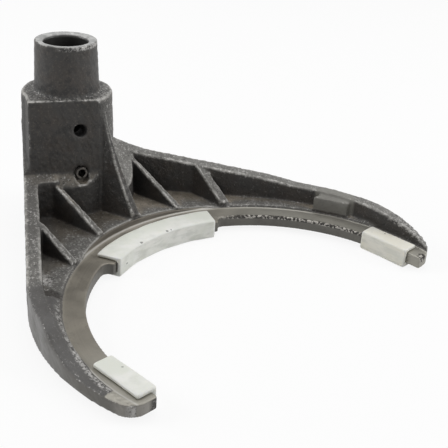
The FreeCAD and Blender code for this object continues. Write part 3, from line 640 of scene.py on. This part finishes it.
def cast_colour(t, at, finish, grain):
    """The cast skin's colour: painted shade in the pockets, film, and dust with painted light first, then
    each place, then pits and bright grain.
    """
    # Painted shade: the skin darkens towards the pocket colour where little sky is seen, scale and painted
    # shade together.
    skin = t.mix(at.sky, finish.deep, finish.skin)
    film = t.all_of(t.step(at.blotches, 0.40, 0.62), t.step(at.patches, 0.30, 0.60, 0.4, 1.0))
    skin = t.coat(skin, finish.brown, film, 0.65)
    # Dust and painted light: upper faces, most where the sky is open, are painted lighter as if lit from
    # above.
    dust_and_top_light = t.all_of(at.up, t.step(at.sky, 0.0, 0.7, 0.90, 1.0), t.step(at.patches, 0.25, 0.65, 0.65, 1.0))
    dust_and_top_light = t.any_of(dust_and_top_light, t.all_of(at.hub_side, 0.55))

    # The floors of the pockets on the near side are darker than those on the far side.
    floor = t.mix(t.step(at.y, -0.004, 0.008), shade(finish.floor, 0.48), shade(finish.floor, 1.25))
    skin = t.coat(skin, t.mix(t.step(at.sky, 0.1, 0.7), floor, finish.dust), dust_and_top_light, 0.88)

    # Painted light: the far ridge's upper faces are painted lighter, as if lit from above.
    skin = t.coat(skin, t.mix(t.step(at.blotches, 0.35, 0.65), *RIDGE_LIT_TONES), at.far_ridge, 0.65)
    skin = t.coat(skin, t.mix(t.step(at.patches, 0.40, 0.60), finish.floor, LEDGE_BROWN), at.ledge, 0.70)
    skin = t.coat(skin, ROOT_GREY, t.any_of(t.all_of(at.near_root, 0.75), t.all_of(at.shoulder_left, 0.70)))

    # Edges are rubbed bright in places, partly wear and partly painted highlight, and the near arm is
    # smooth on top and painted dark as shade.
    broken = t.step(at.patches, 0.40, 0.56, 0.45, 1.0)
    off_corner = t.rest(t.all_of(at.corner, 0.85))
    # Worn edges and painted highlight: convex edges that face open sky are painted bright.
    rubbed = t.all_of(at.edge, t.step(at.sky, 0.0, 0.35), t.rest(at.arm), at.uneven, off_corner, broken)
    skin = t.coat(skin, finish.worn_and_highlight, rubbed, 0.95)
    # Painted shade: the near arm's top is painted dark.
    skin = t.coat(skin, ARM_TOP_SHADE, at.arm_top, 0.85)
    # Painted light: the near arm's side is painted lighter, as if lit from the left, and lighter still
    # towards the tip.
    side = t.mix(t.step(at.blotches, 0.40, 0.60), *SIDE_LIT_TONES)
    side = t.coat(side, SIDE_END, t.step(at.x, 0.070, 0.100))
    side = t.coat(side, TIP_END, t.step(at.x, 0.106, 0.112))
    skin = t.coat(skin, side, at.arm_side, 0.85)

    # The inner wall and the low block are olive, and a painted highlight runs along the cut.
    olive = t.mix(t.step(at.blotches, 0.38, 0.62), *OLIVE_TONES)
    skin = t.coat(skin, olive, at.band, 0.90)
    skin = t.coat(skin, t.mix(0.32, olive, BLOCK_GREY), at.block, 0.90)
    skin = t.coat(skin, finish.worn_and_highlight, at.cut_highlight, 0.60)

    # Dark pits and mottling, then the bright grain and beads over them.
    neck_foot = t.all_of(at.neck_foot, t.step(t.noise(620.0, 2.0, 0.6), 0.46, 0.56), 0.80)
    mottled = t.all_of(at.corner, t.step(at.patches, 0.42, 0.56, 0.35, 1.0), 0.75)
    skin = t.coat(skin, finish.deep, t.any_of(t.all_of(at.pits, at.uneven, 0.55), neck_foot, mottled))
    hub_face = t.any_of(at.flat, at.neck)
    skin = t.coat(skin, finish.deep, hub_face, t.step(t.noise(210.0, 3.0, 0.6), 0.50, 0.64), 0.75)
    skin = t.coat(skin, HUB_BROWN, hub_face, t.step(at.grain, 0.54, 0.66), 0.55)
    skin = t.coat(skin, finish.deep, at.lip, 0.45)
    beads = t.all_of(t.step(t.noise(900.0, 2.0, 0.5), 0.50, 0.57), at.lip, 0.90)
    skin = t.coat(skin, finish.bright, t.any_of(t.all_of(grain, 0.74), beads))
    return t.coat(skin, PIT_BLACK, at.pit, 0.85)


def bare_colour(t, at, finish, turning, stain):
    """The cut faces' colour: stains and turning marks first, then each place."""
    metal = t.mix(t.step(stain, 0.30, 0.68), shade(finish.machined, 0.78), shade(finish.machined, 1.12))
    metal = t.coat(metal, METAL_STAIN, t.step(t.noise(420.0, 4.0, 0.65), 0.54, 0.72), 0.35)
    metal = t.coat(metal, METAL_SHINE, t.step(turning, 0.40, 0.72), 0.12)
    pale = t.any_of(t.all_of(at.end, 0.70), t.all_of(t.above(at.y, 0.040, 0.015), 0.80))
    metal = t.coat(metal, METAL_PALE, pale)
    metal = t.coat(metal, CRESCENT_BROWN, at.clearance, 0.75)
    # Painted highlight along the ring wall's edge.
    metal = t.coat(metal, finish.worn_and_highlight, at.ring_highlight, 0.75)
    metal = t.coat(metal, t.mix(t.step(at.patches, 0.42, 0.60), *NECK_TONES), at.neck_top)
    # Painted shade: the inside of the bore is dark.
    return t.coat(metal, BORE_SHADE, at.in_bore)


def casting_material(finish):
    """Blasted cast iron, with the turned and milled faces left bare."""
    t = MaterialTree("cast_iron")
    at = CastingPlaces(t)
    grain = blasted_grain(t, at)

    # Turning marks are fine across the ring and long around it.
    turning = t.noise_in(t.joined(t.all_of(at.ring, 5200.0), t.all_of(at.bore, 25.0)), 1.0, 3.0, 0.6)
    stain = t.noise(75.0, 5.0, 0.6, 0.4)
    colour = t.mix(at.bare, cast_colour(t, at, finish, grain), bare_colour(t, at, finish, turning, stain))
    colour = t.coat(colour, t.mix(t.step(t.noise(950.0, 2.0, 0.5), 0.49, 0.55), *TORN_TONES), at.broken_off)
    # Painted shade: the inside of the cross holes is near black.
    colour = t.coat(colour, HOLE_SHADE, at.cross_hole)

    cast_rough = t.blend(grain, t.blend(at.even, 0.60, 0.50), 0.38)
    bare_rough = t.blend(t.step(stain, 0.3, 0.7), 0.38, 0.52)
    bare_shine = t.math("SUBTRACT", 0.45, at.in_bore, clamp=True)
    relief = t.plus(t.all_of(at.grain, 0.8), t.all_of(t.noise(3000.0, 2.0, 0.6), 0.2))
    relief = t.all_of(t.math("SUBTRACT", relief, t.all_of(at.pits, 0.25)), at.uneven)
    marks = t.plus(t.all_of(turning, 0.05), t.all_of(at.grain, at.broken_off))
    return t.finish({
        "Base Color": colour,
        "Roughness": t.blend(at.bare, cast_rough, bare_rough),
        "Metallic": t.blend(at.bare, t.all_of(grain, 0.55), bare_shine),
        "Normal": t.bump(t.blend(at.bare, relief, marks), 0.0005, 0.75),
    })


def pad_material(finish):
    """Moulded nylon: off-white, slightly see-through, with clouds and handling marks."""
    t = MaterialTree("moulded_nylon")
    x, y, _ = t.parts(t.place)
    clouds = t.noise(85.0, 3.0, 0.5, 0.6)
    streaks = t.noise_in(t.vector("MULTIPLY", t.place, (1.0, 1.0, 2.6)), 170.0, 3.0, 0.6)
    grime = t.noise(480.0, 4.0, 0.7)
    base = t.mix(t.step(clouds, 0.36, 0.66), finish.colour, shade(finish.colour, (0.88, 0.90, 0.86)))
    base = t.coat(base, finish.grey, t.step(streaks, 0.50, 0.70), 0.40)
    base = t.coat(base, PAD_GRIME, t.step(grime, 0.60, 0.78), 0.22)

    # The pad of the far tip is a little yellower, and the upright faces are greyer with painted shade.
    aged = t.all_of(t.above(x, 0.085, 0.002), t.above(y, 0.030, 0.002), t.step(clouds, 0.3, 0.7, 0.55, 1.0))
    base = t.coat(base, PAD_AGED, aged)
    upright = t.below(t.parts(t.normal())[2], 0.40, 0.20)
    base = t.coat(base, PAD_FRONT_SHADE, upright, t.step(streaks, 0.40, 0.62, 0.30, 1.0), 0.55)
    # Painted highlight: the pads' edges are lighter.
    base = t.coat(base, PAD_EDGE_HIGHLIGHT, t.attribute("edge"), 0.55)
    ragged = t.all_of(t.plus(grime, -0.5), 0.0016)
    marks = [
        t.below(t.plus(t.from_point(centre, (1.0, 1.0, 2.2)), ragged), size, size * 0.4)
        for centre, size in PAD_MARKS
    ]
    base = t.coat(base, PAD_MARK, t.any_of(*marks), 0.75)
    return t.finish({
        "Base Color": base,
        "Roughness": t.step(grime, 0.3, 0.75, 0.36, 0.52),
        "Normal": t.bump(t.noise(800.0, 3.0, 0.55), 0.00005, 0.5),
        "Subsurface Weight": 0.15,
        "Subsurface Radius": (0.0016, 0.0015, 0.0012),
        "Subsurface Scale": 1.0,
    })


def pin_material(finish):
    """Dull spring steel with a film of oil and dust."""
    t = MaterialTree("spring_steel")
    film = t.noise(700.0, 4.0, 0.6)
    return t.finish({
        "Base Color": t.mix(t.step(film, 0.4, 0.7), finish.colour, shade(finish.colour, 0.45)),
        "Roughness": t.step(film, 0.3, 0.7, 0.32, 0.52),
        "Metallic": 0.9,
        "Normal": t.bump(t.noise(2500.0, 2.0, 0.5), 0.00004, 0.6),
    })


def floor_material():
    """A pale floor that stays near white to the camera and keeps the shadow."""
    material = bpy.data.materials.new("pale_floor")
    t = Tree(material, "ShaderNodeOutputMaterial")
    matt = t.add("ShaderNodeBsdfDiffuse", {"Color": (0.92, 0.92, 0.92, 1.0)}).outputs[0]
    glow = t.add("ShaderNodeEmission", {"Color": WHITE, "Strength": 1.0}).outputs[0]
    t.show(t.mixed_shader(t.all_of(t.seen_ray(), 0.88), matt, glow))
    return material


def studio_world():
    """White behind the fork, and a faint even light on it."""
    world = bpy.data.worlds.new("studio")
    t = Tree(world, "ShaderNodeOutputWorld")
    room = t.add("ShaderNodeBackground", {"Color": WHITE, "Strength": 0.20}).outputs[0]
    white = t.add("ShaderNodeBackground", {"Color": WHITE, "Strength": 1.0}).outputs[0]
    t.show(t.mixed_shader(t.seen_ray(), room, white))
    return world


# Meshes.


def closed_copy(node):
    """The solid's own mesh, with its loose corners joined."""
    made = bmesh.new()
    made.from_mesh(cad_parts[node].data)
    bmesh.ops.remove_doubles(made, verts=made.verts, dist=1e-6)
    return made


def add_object(name, data):
    """A new object in the scene."""
    made = bpy.data.objects.new(name, data)
    bpy.context.scene.collection.objects.link(made)
    return made


def new_piece(name, mesh, material, node):
    """Adds the piece that stands for a solid to the root body, and hides the solid."""
    mesh.name = name
    mesh.materials.clear()
    mesh.materials.append(material)
    piece = add_object(name, mesh)
    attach(piece, "root")
    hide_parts(node)


def applied(name, mesh, make_modifiers):
    """A mesh after some modifiers have worked on it."""
    carrier = add_object(name, mesh)
    make_modifiers(carrier)
    bpy.context.view_layer.update()
    graph = bpy.context.evaluated_depsgraph_get()
    result = bpy.data.meshes.new_from_object(carrier.evaluated_get(graph), depsgraph=graph)
    bpy.data.objects.remove(carrier)
    return result


def points_of(mesh):
    """The mesh's points, their normals and its edges as arrays."""
    count = len(mesh.vertices)
    place = np.empty(count * 3, np.float32)
    mesh.vertices.foreach_get("co", place)
    normal = np.empty(count * 3, np.float32)
    mesh.vertices.foreach_get("normal", normal)
    ends = np.empty(len(mesh.edges) * 2, np.int32)
    mesh.edges.foreach_get("vertices", ends)
    return place.reshape(-1, 3).astype(float), normal.reshape(-1, 3).astype(float), ends.reshape(-1, 2)


def mean_of_neighbours(values, ends):
    """For each point, the mean of a quantity over the points it shares an edge with."""
    count = len(values)
    columns = values.reshape(count, -1)
    total = np.zeros_like(columns)
    number = np.zeros(count)
    for here, there in (ends.T, ends.T[::-1]):
        for axis in range(columns.shape[1]):
            total[:, axis] += np.bincount(here, weights=columns[there, axis], minlength=count)
        number += np.bincount(here, minlength=count)
    return (total / np.maximum(number, 1)[:, None]).reshape(values.shape)


def waves(place, seed, wavelength, layers=7):
    """Smooth seeded unevenness, from crossed sine waves about one wavelength long."""
    chooser = np.random.default_rng(seed)
    total = np.zeros(len(place))
    for _ in range(layers):
        direction = chooser.normal(size=3)
        direction /= np.linalg.norm(direction)
        length = wavelength * chooser.uniform(0.7, 1.5)
        bend = np.sin(place @ chooser.normal(size=3) * (2.0 / wavelength)) * 0.8
        total += np.sin(place @ direction * (2 * math.pi / length) + bend + chooser.uniform(0, 6.28))
    return total / math.sqrt(layers)


def smooth_step(value, low, high):
    """Rises smoothly from 0 to 1 as the value goes from low to high."""
    share = np.clip((value - low) / (high - low), 0, 1)
    return share * share * (3 - 2 * share)


def machined_share(place):
    """1 for each point of the casting on a face that was cut, and 0 elsewhere."""
    x, y, z = place.T
    in_ring = np.hypot(x - RING_X, y - RING_Y) < RING_WALL + 0.0002
    in_crescent = np.hypot(x - CRESCENT_X, y - RING_Y) < CRESCENT_WALL + 0.0002
    plate = (in_ring | in_crescent) & (z < CRESCENT_HIGH + 0.0002)
    foot = z < FOOT_HIGH
    in_bore = np.hypot(x, y) < BORE_RADIUS + 0.0014
    neck_rim = z > NECK_TOP - 0.0011
    return (plate | foot | in_bore | neck_rim).astype(float)


def rough_share(place):
    """How far each point lies on a rough lip that the cutting left, from 0 to 1."""
    x, y, z = place.T
    ring = np.hypot(x - RING_X, y - RING_Y)
    near_lip = smooth_step(x, 0.056, 0.068) * smooth_step(-y, 0.032, 0.048)
    near_lip *= smooth_step(ring, RING_WALL + 0.0002, RING_WALL + 0.0005)
    near_lip *= 1 - smooth_step(ring, 0.0706, 0.0722)
    far_lip = smooth_step(x, FAR_LIP_START, FAR_LIP_START + 0.008) * smooth_step(y, 0.056, 0.064)
    far_lip *= smooth_step(z + (x - FAR_LIP_START) * FAR_LIP_SLOPE, 0.0114, 0.0130)
    cluster = 1 - smooth_step(np.linalg.norm(place - CLUSTER, axis=1), 0.0026, 0.0046)
    return np.maximum.reduce([near_lip, far_lip, cluster])


def dent_share(place):
    """How deep each point lies in the near arm's pit or the far tip's chip, from 0 to 1."""
    pit = np.linalg.norm((place - PIT) * PIT_STRETCH, axis=1)
    chip = np.linalg.norm(place - CHIP, axis=1)
    return np.maximum(1 - smooth_step(pit, 0.0024, 0.0052), 1 - smooth_step(chip, 0.0008, 0.0020))


def dense_skin(node, step):
    """A solid's surface as an even fine grid, and the grid's points on the solid."""
    solid = closed_copy(node)
    tree = BVHTree.FromBMesh(solid)
    mesh = bpy.data.meshes.new(node + "_start")
    solid.to_mesh(mesh)
    solid.free()

    def remesh(carrier):
        change = carrier.modifiers.new("skin", "REMESH")
        change.mode = "VOXEL"
        change.voxel_size = step * 1.0
        change.use_smooth_shade = True

    dense = applied(node + "_dense", mesh, remesh)
    place, _, ends = points_of(dense)
    return dense, np.array([tree.find_nearest(Vector(p))[0] for p in place]), ends


def rounded(dense, on_solid, ends, amounts):
    """Softens a dense skin's edges, and tells how sharply it turns outwards at each point."""
    place = on_solid.copy()
    for amount in amounts:
        place += (mean_of_neighbours(place, ends) - place) * amount[:, None]
    dense.vertices.foreach_set("co", place.astype(np.float32).ravel())
    dense.update()
    _, normal, _ = points_of(dense)
    turn_out = np.einsum("ij,ij->i", on_solid - place, normal)
    for _ in range(2):
        turn_out = mean_of_neighbours(turn_out, ends)
    return place, normal, turn_out


def sky_share(place, normal, cell=0.0008, margin=0.03, directions=12):
    """How much open sky each point sees, from 0 in a deep pocket to 1 on a free face."""
    start = place[:, :2].min(axis=0) - margin
    size = np.ceil((place[:, :2].max(axis=0) + margin - start) / cell).astype(int)
    height = np.full(tuple(size), -1.0)
    column = ((place[:, :2] - start) / cell).astype(int)
    np.maximum.at(height, (column[:, 0], column[:, 1]), place[:, 2])
    seen = np.zeros(len(place))
    weights = np.zeros(len(place))
    for turn in np.arange(directions) * (2 * math.pi / directions):
        direction = np.array([math.cos(turn), math.sin(turn)])
        horizon = np.zeros(len(place))
        for distance in (0.0016, 0.0026, 0.004, 0.006, 0.009, 0.013, 0.019, 0.027):
            spot = ((place[:, :2] + direction * distance - start) / cell).astype(int)
            horizon = np.maximum(horizon, (height[spot[:, 0], spot[:, 1]] - place[:, 2]) / distance)
        weight = np.maximum(normal[:, 2], 0) + np.maximum(normal[:, :2] @ direction, 0)
        seen += weight * (1 - horizon / np.hypot(1, horizon))
        weights += weight
    return np.where(weights > 0.05, seen / np.maximum(weights, 0.05), 1.0)


def give(mesh, name, values):
    """Stores a number for each point, for the material to read."""
    layer = mesh.attributes.new(name, "FLOAT", "POINT")
    layer.data.foreach_set("value", values.astype(np.float32))


def keep_inside(mesh, place, node):
    """Sets the points, none of them outside the solid's own box."""
    low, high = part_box(node)
    place = np.clip(place, np.array(low), np.array(high))
    mesh.vertices.foreach_set("co", place.astype(np.float32).ravel())
    mesh.update()


def casting_skin(finish):
    """The casting as a dense skin: soft, slightly uneven cast edges and crisp cut ones."""
    dense, on_solid, ends = dense_skin("fork_casting", finish.skin_step)
    cast = 1 - machined_share(on_solid)
    amounts = [np.full(len(on_solid), 0.55)] * 2 + [0.55 * cast] * 7
    place, normal, turn_out = rounded(dense, on_solid, ends, amounts)
    sky = sky_share(place, normal)
    for _ in range(4):
        sky = mean_of_neighbours(sky, ends)
    sand = waves(place, 3, 0.0070) * 0.50 + waves(place, 5, 0.0028) * 0.40 + waves(place, 8, 0.0013) * 0.30
    place += normal * (sand * finish.waviness * cast)[:, None]
    place += normal * (waves(place, 21, 0.0012) * LIP_ROUGHNESS * rough_share(on_solid))[:, None]
    dents = DENT_DEPTH + waves(place, 23, 0.0015) * DENT_ROUGHNESS
    place -= normal * (dents * dent_share(on_solid))[:, None]
    keep_inside(dense, place, "fork_casting")
    give(dense, "edge", smooth_step(turn_out, 0.00003, 0.00016))
    give(dense, "sky", smooth_step(sky, 0.30, 0.80))

    def thin(carrier):
        change = carrier.modifiers.new("thin", "DECIMATE")
        dense.calc_loop_triangles()
        change.ratio = min(1.0, MOST_TRIANGLES / len(dense.loop_triangles))
        change = carrier.modifiers.new("normals", "WEIGHTED_NORMAL")
        change.weight = 60

    return applied("casting_thin", dense, thin)


def pad_skin(node, finish):
    """A wear pad as a dense skin with soft moulded edges and a slight swell."""
    dense, on_solid, ends = dense_skin(node, finish.skin_step)
    amounts = [np.full(len(on_solid), 0.6)] * 10
    place, normal, turn_out = rounded(dense, on_solid, ends, amounts)
    place += normal * (waves(place, 12, 0.011) * PAD_SWELL)[:, None]
    keep_inside(dense, place, node)
    give(dense, "edge", smooth_step(turn_out, 0.00004, 0.00020))
    return dense


def softened(node, width, sharp=30.0):
    """A solid's mesh with its flat faces joined and its sharp edges rounded."""
    made = closed_copy(node)
    bmesh.ops.dissolve_limit(
        made, angle_limit=math.radians(0.5), verts=made.verts, edges=made.edges, delimit={"NORMAL"}
    )
    edges = [e for e in made.edges if len(e.link_faces) == 2 and e.calc_face_angle() > math.radians(sharp)]
    bmesh.ops.bevel(
        made, geom=edges, offset=width, offset_type="OFFSET", segments=3, profile=0.5,
        affect="EDGES", clamp_overlap=True, material=-1,
    )
    bmesh.ops.recalc_face_normals(made, faces=made.faces)
    mesh = bpy.data.meshes.new(node + "_soft")
    made.to_mesh(mesh)
    made.free()
    mesh.polygons.foreach_set("use_smooth", [True] * len(mesh.polygons))
    return applied(node + "_shaded", mesh, weighted)


def weighted(carrier):
    """Large faces lead the shading, so that flats look flat beside their rounds."""
    change = carrier.modifiers.new("normals", "WEIGHTED_NORMAL")
    change.weight = 80


# Operators, one for each piece or group of pieces and one for the stage.


class FORK_OT_casting(bpy.types.Operator):
    """Dresses the casting: cast skin, machined faces and hub."""

    bl_idname = "shift_fork.casting"
    bl_label = "Casting"

    def execute(self, context):
        finish = context.scene.fork_casting_finish
        skin = casting_skin(finish)
        new_piece("casting", skin, casting_material(finish), "fork_casting")
        return {"FINISHED"}


class FORK_OT_pads(bpy.types.Operator):
    """Dresses the three clip-on wear pads."""

    bl_idname = "shift_fork.pads"
    bl_label = "Wear pads"

    def execute(self, context):
        finish = context.scene.fork_pad_finish
        material = pad_material(finish)
        for node in ("centre_pad", "near_tip_pad", "far_tip_pad"):
            new_piece(node + "_nylon", pad_skin(node, finish), material, node)
        return {"FINISHED"}


class FORK_OT_pin(bpy.types.Operator):
    """Dresses the spring pin."""

    bl_idname = "shift_fork.pin"
    bl_label = "Spring pin"

    def execute(self, context):
        finish = context.scene.fork_pin_finish
        pin = softened("spring_pin", PIN_ROUNDING)
        new_piece("pin_steel", pin, pin_material(finish), "spring_pin")
        return {"FINISHED"}


def make_floor(width):
    """A plain square floor under the fork."""
    made = bmesh.new()
    bmesh.ops.create_grid(made, x_segments=1, y_segments=1, size=width / 2)
    mesh = bpy.data.meshes.new("floor")
    made.to_mesh(mesh)
    made.free()
    mesh.materials.append(floor_material())
    add_object("floor", mesh)


def soft_lamp(name, place, width, power):
    """A large soft lamp that looks at the fork's middle."""
    data = bpy.data.lights.new(name, "AREA")
    data.shape = "DISK"
    data.size = width
    data.energy = power
    lamp = add_object(name, data)
    lamp.location = place
    lamp.rotation_euler = (Vector(FORK_MIDDLE) - Vector(place)).to_track_quat("-Z", "Y").to_euler()


def make_camera(setup):
    """The camera, at the photograph's viewing angle."""
    data = bpy.data.cameras.new("camera")
    data.lens = setup.focal_length
    data.sensor_width = 36.0
    data.clip_start = 0.01
    data.clip_end = 50.0
    camera = add_object("camera", data)
    camera.location = setup.camera_place
    camera.rotation_euler = setup.camera_turn
    bpy.context.scene.camera = camera


class FORK_OT_stage(bpy.types.Operator):
    """Makes the floor, the lamps, the world and the camera."""

    bl_idname = "shift_fork.stage"
    bl_label = "Stage"

    def execute(self, context):
        setup = context.scene.fork_stage_setup
        make_floor(setup.floor_size)
        for name, (place, width, power) in LAMPS.items():
            soft_lamp(name, place, width, power)
        make_camera(setup)
        context.scene.world = studio_world()
        context.scene.view_settings.view_transform = "Standard"
        return {"FINISHED"}


class FORK_PT_panel(bpy.types.Panel):
    """Lists the steps that dress the shift fork."""

    bl_label = "Shift Fork"
    bl_idname = "FORK_PT_panel"
    bl_space_type = "VIEW_3D"
    bl_region_type = "UI"
    bl_category = "Shift Fork"

    def draw(self, context):
        for step in STEPS:
            self.layout.operator(step.bl_idname)


STEPS = (FORK_OT_casting, FORK_OT_pads, FORK_OT_pin, FORK_OT_stage)
GROUPS = {
    "fork_casting_finish": CastingFinish,
    "fork_pad_finish": PadFinish,
    "fork_pin_finish": PinFinish,
    "fork_stage_setup": StageSetup,
}


def register():
    for made in (*GROUPS.values(), *STEPS, FORK_PT_panel):
        bpy.utils.register_class(made)
    for name, group in GROUPS.items():
        setattr(bpy.types.Scene, name, bpy.props.PointerProperty(type=group))


def unregister():
    for name in GROUPS:
        delattr(bpy.types.Scene, name)
    for made in (FORK_PT_panel, *reversed(STEPS), *reversed(GROUPS.values())):
        bpy.utils.unregister_class(made)


def main():
    register()
    bpy.ops.shift_fork.casting()
    bpy.ops.shift_fork.pads()
    bpy.ops.shift_fork.pin()
    bpy.ops.shift_fork.stage()


if __name__ == "__main__":
    main()
